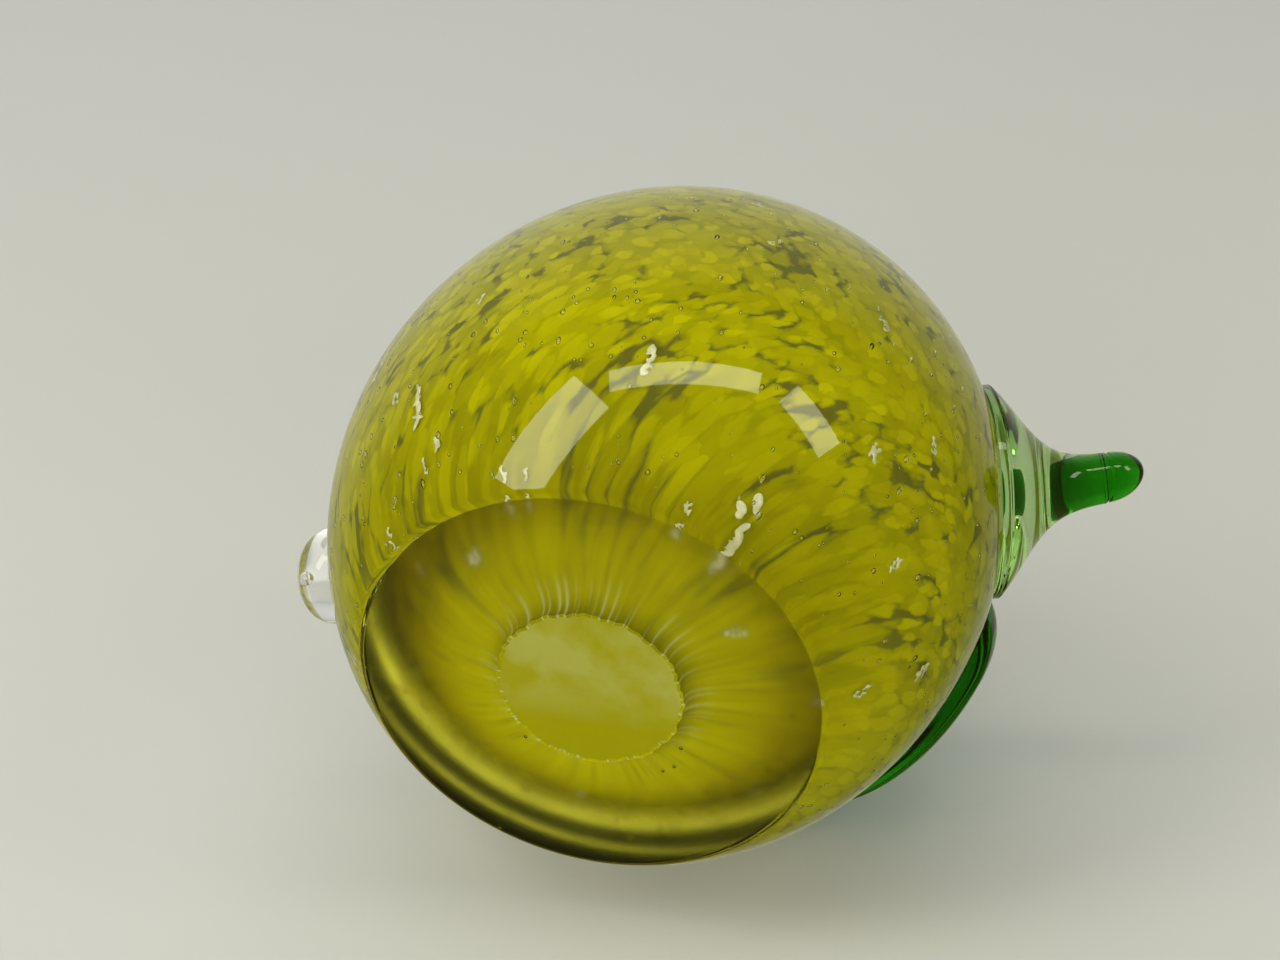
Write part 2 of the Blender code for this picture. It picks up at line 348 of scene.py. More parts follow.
def fluteNeck(piece):
    # drawn flutes and fine serrations run down the neck and die out over the shoulder
    for vertex in piece.data.vertices:
        wide = math.hypot(vertex.co.x, vertex.co.y)
        if wide < gather["nearAxis"] or vertex.co.z < 0:
            continue
        nearness = math.exp(-(((cutHeight - vertex.co.z) / gather["fluteReach"]) ** 2))
        turn = math.atan2(vertex.co.y, vertex.co.x)
        swell = 0.0
        for count, depth, sway, times in gather["flutes"]:
            swell += depth * math.cos(count * turn + sway * math.sin(times * turn))
        vertex.co.x *= 1 + nearness * swell / wide
        vertex.co.y *= 1 + nearness * swell / wide


def markFlow(piece):
    # flow is where each point of the layer was before it was drawn in to the neck, so a pattern
    # on it has round chips at the back and long streaks at the front; polar runs from the neck to the back
    piece.data.attributes.new("flow", "FLOAT_VECTOR", "POINT")
    piece.data.attributes.new("polar", "FLOAT", "POINT")
    flow, polar = piece.data.attributes["flow"], piece.data.attributes["polar"]
    start, full = math.radians(gather["drawnFrom"]), math.radians(gather["fullyDrawn"])
    twistFrom, twistTo = math.radians(gather["twistFrom"]), math.radians(gather["twistTo"])
    for vertex in piece.data.vertices:
        wide = math.hypot(vertex.co.x, vertex.co.y)
        angle = math.atan2(wide, vertex.co.z)
        turn = math.atan2(vertex.co.y, vertex.co.x)
        turn += gather["twist"] / 2 * max(0.0, min(angle, twistTo) - twistFrom) ** 2
        radius = gather["radius"] * math.sin(max(angle, start))
        height = gather["radius"] * math.cos(max(angle, start))
        if angle < start:
            share = max(0.0, (angle - full) / (start - full))
            left = 0.5 - (share**3 - share**4 / 2)  # a smooth start: the sum of 3s^2 - 2s^3 from here on
            kept = gather["drawnShare"]
            undrawn = kept * (start - angle) + (1 - kept) * (start - full) * left
            height += gather["radius"] * undrawn
        flow.data[vertex.index].vector = (radius * math.cos(turn), radius * math.sin(turn), height)
        polar.data[vertex.index].value = angle / math.pi


outerOutline = gatherOutline(0.0, gather["outerSteps"])
innerOutline = gatherOutline(gather["skin"], gather["innerSteps"])
fritLayer = spun("frit_layer", outerOutline[::-1] + innerOutline, gather["steps"])
fluteNeck(fritLayer)
markFlow(fritLayer)
cobbled = fritLayer.vertex_groups.new(name="cobbled")
for vertex in fritLayer.data.vertices:
    angle = math.atan2(math.hypot(vertex.co.x, vertex.co.y), vertex.co.z)
    if vertex.co.length > gather["radius"] - gather["outerShare"] * gather["skin"]:
        share = (angle - gather["cobbledFrom"]) / gather["cobbledOver"]
        cobbled.add([vertex.index], min(1.0, max(0.0, share)), "REPLACE")
chipTexture = bpy.data.textures.new("chip_relief", "VORONOI")
chipTexture.noise_scale = gather["chipSize"]
relief = fritLayer.modifiers.new("chips", "DISPLACE")
relief.texture = chipTexture
relief.texture_coords = "LOCAL"
relief.vertex_group = "cobbled"
relief.strength = -gather["chipRelief"]
relief.mid_level = gather["chipLevel"]
applyAll(fritLayer)
pressOval(fritLayer)

coreOutline = gatherOutline(gather["skin"] + gather["coreGap"], gather["coreSteps"])
core = spun("core_gather", coreOutline[::-1] + [(0.0, cutHeight)], gather["steps"])
fluteNeck(core)
pressOval(core)

fritLook = {
    "ground": (0.215, 0.210, 0.030),  # olive seen between the chips
    "layers": [  # chips per metre, reach of a chip, dull and bright yellow, from the deepest up
        (430.0, 0.74, (0.430, 0.412, 0.003), (0.550, 0.524, 0.002)),
        (490.0, 0.64, (0.480, 0.458, 0.002), (0.650, 0.616, 0.001)),
        (570.0, 0.57, (0.540, 0.513, 0.001), (0.780, 0.738, 0.001)),
    ],
    "softness": 0.17, "wander": 0.0019, "wanderScale": 560.0,
    "patchScale": 130.0, "patchSpread": 0.8,  # where the chips lie thick and thin
    "cloudScale": 390.0, "cloudShare": 0.55, "toneFrom": 0.15, "toneTo": 0.80,
    "layerApart": (0.31, 0.17, 0.23),
    "shadedBetween": (0.018, 0.046), "shadedTopShare": 0.54,  # heights over which painted shade comes in on the layer's upper side, and the share of the drawn colour left at the top
    # painted shade: the chips are darkened by polar place, on the upper side only
    "frontShade": ((0.19, 0.95), (0.26, 0.64), (0.34, 0.67), (0.46, 0.90)),
    "streakScale": 700.0, "fineScale": 1100.0, "streakStretch": 0.25,
    # drawn streak colours, made bright in part as painted light that stands in for light glowing through the
    # layer near the neck
    "drawn": ((0.28, (0.68, 0.645, 0.004)), (0.45, (0.86, 0.815, 0.002)), (0.66, (0.94, 0.89, 0.002))),
    "reachBelow": ((0.24, 0.95), (0.42, 0.0)), "reachAbove": ((0.16, 0.85), (0.27, 0.0)),
    # pale streaks are gaps in the layer; their pale colour is painted light, standing in for the lit inside
    # glowing through
    "paleStreak": (0.90, 0.88, 0.34), "paleLine": ((0.575, 0.0), (0.63, 1.0)),
    "paleReach": ((0.115, 0.85), (0.17, 0.0)),
    "oliveStreak": (0.30, 0.285, 0.010), "oliveLine": ((0.35, 1.0), (0.42, 0.0)),
    "oliveReach": ((0.14, 0.0), (0.18, 0.5), (0.25, 0.0)),
    "cutRing": ((0.110, 0.72), (0.116, 1.0)), "roughness": 0.6,
}


def yellowFrit():
    material, tree, shader = newMaterial("mottled_yellow")
    links = tree.links
    flow = node(tree, "ShaderNodeAttribute", attribute_name="flow").outputs["Vector"]
    polar = node(tree, "ShaderNodeAttribute", attribute_name="polar").outputs["Fac"]
    wander = noiseOn(tree, flow, fritLook["wanderScale"], detail=3.0)
    sway = vectorMath(tree, "MULTIPLY", wander.outputs["Color"], (fritLook["wander"],) * 3)
    bent = vectorMath(tree, "ADD", flow, sway)
    patches = noiseOn(tree, flow, fritLook["patchScale"], detail=2.0).outputs["Fac"]
    clouds = noiseOn(tree, flow, fritLook["cloudScale"], detail=3.0).outputs["Fac"]
    colour = fritLook["ground"]
    for number, (scale, reach, dull, bright) in enumerate(fritLook["layers"]):
        moved = vectorMath(tree, "ADD", bent, tuple(step * number for step in fritLook["layerApart"]))
        cells = node(tree, "ShaderNodeTexVoronoi", Scale=scale)
        links.new(moved, cells.inputs["Vector"])
        tone = node(tree, "ShaderNodeSeparateColor")
        links.new(cells.outputs["Color"], tone.inputs["Color"])
        shade = mixed(tree, fritLook["cloudShare"], tone.outputs["Red"], clouds)
        chip = ramp(tree, shade, (fritLook["toneFrom"], dull), (fritLook["toneTo"], bright))
        thin = node(tree, "ShaderNodeMath", operation="MULTIPLY_ADD")
        links.new(patches, thin.inputs[0])
        thin.inputs[1].default_value = fritLook["patchSpread"]
        links.new(cells.outputs["Distance"], thin.inputs[2])
        edge = reach + fritLook["patchSpread"] / 2  # halved below, since the places of a ramp end at 1
        apart = node(tree, "ShaderNodeMath", operation="MULTIPLY")
        links.new(thin.outputs[0], apart.inputs[0])
        apart.inputs[1].default_value = 0.5
        cover = ramp(tree, apart.outputs[0], ((edge - fritLook["softness"]) / 2, 1.0), (edge / 2, 0.0))
        colour = mixed(tree, cover, colour, chip)
    height = node(tree, "ShaderNodeSeparateXYZ")
    links.new(node(tree, "ShaderNodeTexCoord").outputs["Object"], height.inputs["Vector"])
    rising = node(tree, "ShaderNodeMapRange")
    for name, value in zip(("From Min", "From Max"), fritLook["shadedBetween"]):
        rising.inputs[name].default_value = value
    links.new(height.outputs["Z"], rising.inputs["Value"])
    upper = rising.outputs["Result"]
    # painted shade on the chips of the upper side, by polar place
    frontShade = ramp(tree, polar, *fritLook["frontShade"])
    colour = mixed(tree, upper, colour, frontShade, "MULTIPLY")

    # towards the neck the colour is drawn out to streaks and closes up; their bright colours are partly
    # painted light, and darker on the upper side as painted shade
    streakPlace = vectorMath(tree, "MULTIPLY", flow, (1.0, 1.0, fritLook["streakStretch"]))
    streaks = noiseOn(tree, streakPlace, fritLook["streakScale"], detail=3.0, roughness=0.6)
    drawn = ramp(tree, streaks.outputs["Fac"], *fritLook["drawn"])
    # painted shade: the drawn colour is darkened towards the top of the layer
    paintedTopShade = ramp(tree, upper, (0.0, 1.0), (1.0, fritLook["shadedTopShare"]))
    drawn = mixed(tree, 1.0, drawn, paintedTopShade, "MULTIPLY")
    # the streaks reach farther from the neck on the lower side, which also brightens that side as painted
    # light
    reachBelow = ramp(tree, polar, *fritLook["reachBelow"])
    reachAbove = ramp(tree, polar, *fritLook["reachAbove"])
    nearNeck = mixed(tree, upper, reachBelow, reachAbove)
    colour = mixed(tree, nearNeck, colour, drawn)
    fineStreaks = noiseOn(tree, streakPlace, fritLook["fineScale"], detail=1.0)
    # pale streaks: real gaps, with a painted glow of light from inside
    paleLine = ramp(tree, fineStreaks.outputs["Fac"], *fritLook["paleLine"])
    paleReach = ramp(tree, polar, *fritLook["paleReach"])
    pale = mixed(tree, 1.0, paleLine, paleReach, "MULTIPLY")
    colour = mixed(tree, pale, colour, fritLook["paleStreak"])
    oliveLine = ramp(tree, fineStreaks.outputs["Fac"], *fritLook["oliveLine"])
    oliveReach = ramp(tree, polar, *fritLook["oliveReach"])
    olive = mixed(tree, 1.0, oliveLine, oliveReach, "MULTIPLY")
    colour = mixed(tree, olive, colour, fritLook["oliveStreak"])
    cutRing = ramp(tree, polar, *fritLook["cutRing"])
    colour = mixed(tree, 1.0, colour, cutRing, "MULTIPLY")
    links.new(colour, shader.inputs["Base Color"])
    shader.inputs["Roughness"].default_value = fritLook["roughness"]
    shader.inputs["Specular IOR Level"].default_value = 0.0
    return material


# the core's cut face: yellow below, and higher up pale clouds that are painted light, standing in for light
# from above shining through the layer
coreLook = {
    "yellow": (0.46, 0.435, 0.002), "pale": (0.54, 0.53, 0.10),
    "from": -0.0045, "to": 0.0015,  # heights about the cut's middle between which the painted glow of light from above begins
    "cloudScale": 190.0, "clouds": ((0.36, 0.15), (0.56, 1.0)), "roughness": 0.6,
}


def coreWithPaintedGlow():
    material, tree, shader = newMaterial("core_painted_glow")
    links = tree.links
    place = node(tree, "ShaderNodeTexCoord").outputs["Object"]
    split = node(tree, "ShaderNodeSeparateXYZ")
    links.new(place, split.inputs["Vector"])
    ovalHeight = (fruitCentre + baseOut * fruit["baseDistance"]).z
    rise = node(tree, "ShaderNodeMapRange")
    rise.inputs["From Min"].default_value = ovalHeight + coreLook["from"]
    rise.inputs["From Max"].default_value = ovalHeight + coreLook["to"]
    links.new(split.outputs["Z"], rise.inputs["Value"])
    cloud = noiseOn(tree, place, coreLook["cloudScale"], detail=3.0)
    patches = ramp(tree, cloud.outputs["Fac"], *coreLook["clouds"])
    amount = mixed(tree, 1.0, patches, rise.outputs["Result"], "MULTIPLY")
    # painted glow: pale clouds towards the top
    colour = mixed(tree, amount, coreLook["yellow"], coreLook["pale"])
    links.new(colour, shader.inputs["Base Color"])
    shader.inputs["Roughness"].default_value = coreLook["roughness"]
    shader.inputs["Specular IOR Level"].default_value = 0.0
    return material


fritLayer.data.materials.append(yellowFrit())
core.data.materials.append(coreWithPaintedGlow())
print("yellow layer and core made")

# clear casing
casingLook = {
    "segments": 192, "rings": 112, "arris": 0.0005, "arrisSteps": 3, "groundOff": 0.00003,
    "level": 0.9999, "within": 0.00002,  # which faces belong to the ground base
    "satin": 0.258, "grain": 0.012, "grainScale": 260.0, "grainFrom": 0.3, "grainTo": 0.7,
    "rippleScale": 55.0, "ripple": 0.00002,
    "cast": (0.97, 0.96, 0.30), "castDepth": 22.0,  # the yellow cast of light that has gone round in it
}


def satinGround():
    # fine grinding: a rough face with a faint grain
    material, tree, shader = newMaterial("satin_ground")
    shader.inputs["Base Color"].default_value = (1, 1, 1, 1)
    shader.inputs["Metallic"].default_value = 0.0
    shader.inputs["IOR"].default_value = fruit["index"]
    shader.inputs["Transmission Weight"].default_value = 1.0
    place = node(tree, "ShaderNodeTexCoord").outputs["Object"]
    grain = noiseOn(tree, place, casingLook["grainScale"], detail=4.0)
    least, most = (casingLook["satin"] + step for step in (-casingLook["grain"], casingLook["grain"]))
    rough = ramp(tree, grain.outputs["Fac"], (casingLook["grainFrom"], least), (casingLook["grainTo"], most))
    tree.links.new(rough, shader.inputs["Roughness"])
    return material, tree


bpy.ops.object.select_all(action="DESELECT")
bpy.ops.mesh.primitive_uv_sphere_add(
    segments=casingLook["segments"], ring_count=casingLook["rings"], radius=roundRadius - fruit["skin"]
)
casing = bpy.context.object
casing.name = casing.data.name = "casing"
polished, polishedTree = glass("polished_glass", casingLook["rippleScale"], casingLook["ripple"])
absorb(polishedTree, casingLook["cast"], casingLook["castDepth"])
ground, groundTree = satinGround()
absorb(groundTree, casingLook["cast"], casingLook["castDepth"])
casing.data.materials.append(polished)
casing.data.materials.append(ground)
bpy.ops.object.mode_set(mode="EDIT")
bpy.ops.mesh.select_all(action="SELECT")
groundHeight = baseHeight - casingLook["groundOff"]
bpy.ops.mesh.bisect(plane_co=(0, 0, groundHeight), plane_no=(0, 0, 1), use_fill=True, clear_outer=True)
bpy.ops.object.mode_set(mode="OBJECT")
for face in casing.data.polygons:
    face.select = len(face.vertices) > 4
bpy.ops.object.mode_set(mode="EDIT")
bpy.ops.mesh.select_mode(type="FACE")
bpy.ops.mesh.region_to_loop()
bpy.ops.mesh.bevel(offset=casingLook["arris"], segments=casingLook["arrisSteps"], affect="EDGES")
bpy.ops.object.mode_set(mode="OBJECT")
for face in casing.data.polygons:
    if face.normal.z > casingLook["level"] and face.center.z > groundHeight - casingLook["within"]:
        face.material_index = 1
bpy.ops.object.shade_smooth_by_angle(angle=math.radians(meshing["crease"]))
pressOval(casing)

# seed bubbles: air in the glass, so their faces look into the bubble
seeds = {
    "count": 800, "seed": 11, "smallest": 0.00012, "largest": 0.00032, "stretch": 0.8,
    "aboveLayer": 0.0004, "spread": 0.0024, "highest": 0.0098, "clearOfBase": 46.0,
    "form": (1.06, 0.97, 0.92), "segments": 8, "rings": 6,
    "pits": [(-0.0083, -0.0078), (0.0090, -0.0062), (0.0081, -0.0090), (0.0068, -0.0099)],
    "pitRadius": 0.00022,
}
bpy.ops.object.select_all(action="DESELECT")
bpy.ops.mesh.primitive_uv_sphere_add(segments=seeds["segments"], ring_count=seeds["rings"], radius=1.0)
bubble = bpy.context.object
bubble.name = "seed_bubble"
bpy.ops.object.mode_set(mode="EDIT")
bpy.ops.mesh.select_all(action="SELECT")
bpy.ops.transform.resize(value=seeds["form"])
bpy.ops.mesh.flip_normals()
bpy.ops.object.mode_set(mode="OBJECT")
bpy.ops.object.shade_smooth()


def blownAt(centre, along, out, long, wide):
    side = out.cross(along).normalized()
    made = bubble.copy()
    made.data = bubble.data.copy()
    bpy.context.scene.collection.objects.link(made)
    axes = (along.normalized() * long, side * wide, along.cross(side).normalized() * wide)
    made.matrix_world = Matrix.Translation(centre) @ Matrix(axes).transposed().to_4x4()
    return made


def towardsNeck(direction):
    return (baseOut - direction * baseOut.dot(direction)).normalized()


chance = random.Random(seeds["seed"])
bubbles = []
while len(bubbles) < seeds["count"]:
    direction = Vector([chance.gauss(0, 1) for _ in range(3)]).normalized()
    if direction.angle(baseOut) < math.radians(seeds["clearOfBase"]):
        continue
    lift = min(seeds["aboveLayer"] + chance.expovariate(1 / seeds["spread"]), seeds["highest"])
    wide = seeds["smallest"] + (seeds["largest"] - seeds["smallest"]) * chance.random() ** 2
    long = wide * (1 + seeds["stretch"] * chance.random() ** 2)
    middle = onOval(gather["radius"], direction, lift)
    bubbles.append(blownAt(middle, towardsNeck(direction), direction, long, wide))
baseSide = axesAlong(baseOut, up)
for across, rise in seeds["pits"]:
    flat = fruitCentre + baseOut * (fruit["baseDistance"] - 2 * seeds["pitRadius"])
    place = flat - baseSide.col[1] * across + baseSide.col[0] * rise
    bubbles.append(blownAt(place, baseSide.col[0], baseOut, seeds["pitRadius"], seeds["pitRadius"]))
joinInto(casing, bubbles)
print("casing and seed bubbles made")

# flat pockets of trapped air on the yellow layer
pocketLook = {
    "thickness": 0.00009, "voxel": 0.00008, "lift": 0.00026, "seed": 5, "softening": 0.5, "softened": 2,
    "seen": [  # place in the picture, length and width
        ((652, 376), 0.0036, 0.0011), ((871, 335), 0.0018, 0.0012), ((859, 458), 0.0020, 0.0013),
        ((918, 448), 0.0018, 0.0014), ((425, 412), 0.0050, 0.0012), ((400, 404), 0.0017, 0.0010),
        ((449, 450), 0.0016, 0.0009), ((439, 472), 0.0022, 0.0004), ((405, 540), 0.0022, 0.0008),
        ((517, 480), 0.0020, 0.0009), ((539, 480), 0.0014, 0.0007), ((686, 510), 0.0013, 0.0009),
        ((473, 537), 0.0020, 0.0016), ((736, 519), 0.0054, 0.0022), ((725, 543), 0.0026, 0.0009),
        ((744, 618), 0.0024, 0.0014), ((853, 684), 0.0021, 0.0010), ((916, 668), 0.0022, 0.0014),
        ((485, 305), 0.0016, 0.0010), ((769, 258), 0.0010, 0.0007), ((880, 560), 0.0020, 0.0010),
    ],
    "lobes": (7, 11), "run": 0.75, "stray": 0.42, "turn": 1.1,
    "lobeLong": (0.08, 0.20), "lobeWide": (0.10, 0.26),
    "elsewhere": 18, "long": (0.001, 0.004), "wide": (0.0006, 0.0016), "clearOfNeck": 0.8,
    # painted sheen: a pale colour standing in for the silvery light mirrored inside the air
    "sheenScale": 900.0, "sheen": ((0.35, (0.70, 0.70, 0.55)), (0.65, (0.95, 0.95, 0.85))),
    "roughness": 0.25,
}
rise = math.radians(studio["rise"])
cameraBack = Vector((0, -math.cos(rise), math.sin(rise)))
cameraUp = Vector((0, math.sin(rise), math.cos(rise)))
focal = studio["lens"] / studio["sensor"] * studio["imageWidth"]


def seenOnLayer(pixel):
    # follows a line of sight from the picture through the casing to the layer
    perPixel = studio["distance"] / focal
    across = (pixel[0] - studio["middle"][0]) * perPixel
    above = (studio["middle"][1] - pixel[1]) * perPixel
    off = math.hypot(across, above)
    outside, inside = off / roundRadius, off / (fruit["index"] * roundRadius)
    bend = math.asin(outside) - math.asin(inside) + math.asin(off / (fruit["index"] * gather["radius"]))
    side = (Vector((1, 0, 0)) * across + cameraUp * above) / off
    return cameraBack * math.cos(bend) + side * math.sin(bend)


def airPocket(direction, length, width, chance):
    # a few flattened lobes run together, then laid on the layer
    look = pocketLook
    lobes = []
    count = chance.randint(*look["lobes"])
    for i in range(count):
        along = (i / (count - 1) - 0.5) * look["run"] * length
        stray = chance.uniform(-look["stray"], look["stray"]) * width
        turn = chance.uniform(-look["turn"], look["turn"])
        lobeLong = length * chance.uniform(*look["lobeLong"])
        lobeWide = width * chance.uniform(*look["lobeWide"])
        bpy.ops.object.select_all(action="DESELECT")
        bpy.ops.mesh.primitive_ico_sphere_add(
            subdivisions=2, radius=1.0, location=(along, stray, 0), rotation=(0, 0, turn),
            scale=(lobeLong, lobeWide, look["thickness"]),
        )
        lobes.append(bpy.context.object)
    pocket = joinInto(lobes[0], lobes[1:])
    bpy.ops.object.transform_apply(location=True, rotation=True, scale=True)
    remesh = pocket.modifiers.new("run_together", "REMESH")
    remesh.mode = "VOXEL"
    remesh.voxel_size = look["voxel"]
    smooth = pocket.modifiers.new("soften", "SMOOTH")
    smooth.factor, smooth.iterations = look["softening"], look["softened"]
    applyAll(pocket)
    along = towardsNeck(direction)
    side = direction.cross(along)
    middle = onOval(gather["radius"], direction)
    reach = (middle - fruitCentre).length
    for vertex in pocket.data.vertices:
        x, y, z = vertex.co
        spot = direction * reach + along * x + side * y
        vertex.co = onOval(gather["radius"], spot, look["lift"] + z)
    return pocket


chance = random.Random(pocketLook["seed"])
pockets = [
    airPocket(seenOnLayer(pixel), length, width, chance) for pixel, length, width in pocketLook["seen"]
]
while len(pockets) < len(pocketLook["seen"]) + pocketLook["elsewhere"]:
    direction = Vector([chance.gauss(0, 1) for _ in range(3)]).normalized()
    if direction.dot(cameraBack) < 0 and direction.angle(baseOut) > pocketLook["clearOfNeck"]:
        length, width = chance.uniform(*pocketLook["long"]), chance.uniform(*pocketLook["wide"])
        pockets.append(airPocket(direction, length, width, chance))
airPockets = joinInto(pockets[0], pockets[1:])
airPockets.name = airPockets.data.name = "air_pockets"
bpy.ops.object.shade_smooth()


def trappedAir():
    material, tree, shader = newMaterial("trapped_air")
    # the pockets' pale colour is a painted reflection
    place = node(tree, "ShaderNodeTexCoord").outputs["Object"]
    sheen = noiseOn(tree, place, pocketLook["sheenScale"], detail=2.0)
    colour = ramp(tree, sheen.outputs["Fac"], *pocketLook["sheen"])
    tree.links.new(colour, shader.inputs["Base Color"])
    shader.inputs["Roughness"].default_value = pocketLook["roughness"]
    return material


airPockets.data.materials.append(trappedAir())
print("air pockets made")


# stem and blossom tip are bits laid on the casing
def layOnCasing(piece, axis, sink, bend=0.0):
    # bends a bit made on a flat table so that its underside follows the casing
    side = axesAlong(axis, up)
    first, second = side.col[0], side.col[1]
    for vertex in piece.data.vertices:
        x, y, z = vertex.co
        across = math.hypot(x, y)
        direction = axis * math.sqrt(roundRadius**2 - across**2) + first * x + second * y
        vertex.co = onOval(roundRadius, direction, -sink) + axis * z + first * bend * z**2
    piece.data.update()


stemLook = {
    "height": 0.0169, "radius": 0.00295, "lift": 0.0009, "head": 0.0039,
    "foot": 0.0126, "footEdge": 0.0012, "footRounding": 0.0004, "flare": 0.0034, "flarePower": 1.34,
    "footSteps": 12, "roundingSteps": 4, "headSteps": 20, "rodSteps": 16,
    "flareSteps": 64, "closer": 1.3,  # rings stand closer at the foot
    "creaseDepth": 0.00016, "creaseWidth": 0.0005, "creaseShares": (0.3, 0.5, 0.7),
    "sink": 0.0001, "steps": 96,
    "rodStart": 0.0038, "rodRadius": 0.0022, "rodRounding": 0.0008, "rodEnd": 0.00235, "headSkin": 0.00015,
    "rodSwell": 1.5, "belowHead": 0.0003,  # how the rod widens, and where that ends
    "rodDrop": 0.0004, "dropUntil": 0.72, "dropOver": 0.3,  # shares of the rod's length
    "cast": (0.52, 0.80, 0.20), "castDepth": 75.0, "rippleScale": 130.0, "ripple": 0.00002,
    "rodCast": (0.22, 0.82, 0.05), "rodDepth": 1300.0, "rodRippleScale": 200.0, "rodRipple": 0.00001,
    "rodTint": ((0.25, (0.12, 0.34, 0.16)), (0.80, (1.0, 1.0, 1.0))),
    "bubble": (0.0088, 70.0, 0.0011, 0.00030),  # distance from the axis, turn, height, radius
}


def stemOutline():
    look = stemLook
    headStart = look["height"] - look["head"]
    outline = [(look["foot"] * i / look["footSteps"], 0.0) for i in range(look["footSteps"] + 1)]
    rounding = look["footRounding"]
    centre = (look["foot"] - rounding, look["footEdge"] - rounding)
    outline += arc(centre, rounding, 0.5 * math.pi, 0.25 * math.pi, look["roundingSteps"])
    for i in range(1, look["flareSteps"] + 1):
        share = (i / look["flareSteps"]) ** look["closer"]
        rise = (headStart - look["creaseWidth"] - look["footEdge"]) * share
        spread = math.exp(-((rise / look["flare"]) ** look["flarePower"]))
        outline.append((look["radius"] + (look["foot"] - look["radius"]) * spread, look["footEdge"] + rise))
    for share in look["creaseShares"]:
        depth = look["creaseDepth"] * math.sin(math.pi * share)
        outline.append((look["radius"] - depth, headStart - look["creaseWidth"] * (1 - share)))
    return outline + dome(look["radius"], headStart, look["head"], look["headSteps"])


def rodOutline():
    look = stemLook
    headStart = look["height"] - look["head"]
    shoulder = look["rodStart"] + look["rodRounding"]
    outline = []
    for i in range(look["footSteps"] + 1):
        angle = 0.5 * math.pi * i / look["footSteps"]
        high = shoulder - look["rodRounding"] * math.cos(angle)
        outline.append((look["rodRadius"] * math.sin(angle), high))
    for i in range(1, look["rodSteps"] + 1):
        share = i / look["rodSteps"]
        wide = look["rodRadius"] + (look["rodEnd"] - look["rodRadius"]) * share ** look["rodSwell"]
        outline.append((wide, shoulder + (headStart - look["belowHead"] - shoulder) * share))
    headWide, headLong = look["radius"] - look["headSkin"], look["head"] - look["headSkin"]
    return outline + dome(headWide, headStart, headLong, look["headSteps"])


stemAxis = heading(fruit["stemTurn"], fruit["stemRise"])
stemBend = stemLook["lift"] / stemLook["height"] ** 2
stem = spun("stem_glass", stemOutline(), stemLook["steps"])
layOnCasing(stem, stemAxis, stemLook["sink"], stemBend)
stemMaterial, stemTree = glass("stem_clear", stemLook["rippleScale"], stemLook["ripple"])
absorb(stemTree, stemLook["cast"], stemLook["castDepth"])
stem.data.materials.append(stemMaterial)
stemSide = axesAlong(stemAxis, up)
away, turn, rise, radius = stemLook["bubble"]
spot = stemSide.col[0] * math.cos(math.radians(turn)) - stemSide.col[1] * math.sin(math.radians(turn))
place = onOval(roundRadius, stemAxis * math.sqrt(roundRadius**2 - away**2) + spot * away, rise)
joinInto(stem, [blownAt(place, spot, stemAxis, radius, radius)])

rod = spun("green_rod", rodOutline(), stemLook["steps"])
layOnCasing(rod, stemAxis, stemLook["sink"], stemBend)
rodBounds = [min(v.co.x for v in rod.data.vertices), max(v.co.x for v in rod.data.vertices)]
for vertex in rod.data.vertices:
    share = (vertex.co.x - rodBounds[0]) / (rodBounds[1] - rodBounds[0])
    lowered = (stemLook["dropUntil"] - share) / stemLook["dropOver"]
    vertex.co.z -= stemLook["rodDrop"] * min(1.0, max(0.0, lowered))
# the rod lies in glass of its own index, so its surface bends no light
rodMaterial, rodTree = glass("rod_green", stemLook["rodRippleScale"], stemLook["rodRipple"], index=1.0)
absorb(rodTree, stemLook["rodCast"], stemLook["rodDepth"])
rodPlace = node(rodTree, "ShaderNodeSeparateXYZ")
rodTree.links.new(node(rodTree, "ShaderNodeTexCoord").outputs["Object"], rodPlace.inputs["Vector"])
rodShare = node(rodTree, "ShaderNodeMapRange")
rodShare.inputs["From Min"].default_value, rodShare.inputs["From Max"].default_value = rodBounds
rodTree.links.new(rodPlace.outputs["X"], rodShare.inputs["Value"])
rodTint = ramp(rodTree, rodShare.outputs["Result"], *stemLook["rodTint"])
rodTree.links.new(rodTint, rodTree.nodes["Principled BSDF"].inputs["Base Color"])
rod.data.materials.append(rodMaterial)

tipLook = {
    "radius": 0.0056, "height": 0.0041, "edge": 0.0004, "fullness": 0.8, "sink": 0.0001, "steps": 72,
    "footSteps": 8, "domeSteps": 24, "rippleScale": 150.0, "ripple": 0.00003,
    "bubble": (0.0016, 0.00045, 1.3),  # height, radius and stretch
}
outline = [(tipLook["radius"] * i / tipLook["footSteps"], 0.0) for i in range(tipLook["footSteps"] + 1)]
tipTall = tipLook["height"] - tipLook["edge"]
outline += dome(tipLook["radius"], tipLook["edge"], tipTall, tipLook["domeSteps"], tipLook["fullness"])
tipAxis = heading(fruit["tipTurn"], fruit["tipRise"])
tip = spun("blossom_nub", outline, tipLook["steps"])
layOnCasing(tip, tipAxis, tipLook["sink"])
tip.data.materials.append(glass("tip_clear", tipLook["rippleScale"], tipLook["ripple"])[0])
rise, radius, stretch = tipLook["bubble"]
joinInto(tip, [blownAt(onOval(roundRadius, tipAxis, rise), up, tipAxis, radius * stretch, radius)])
print("stem and tip made")

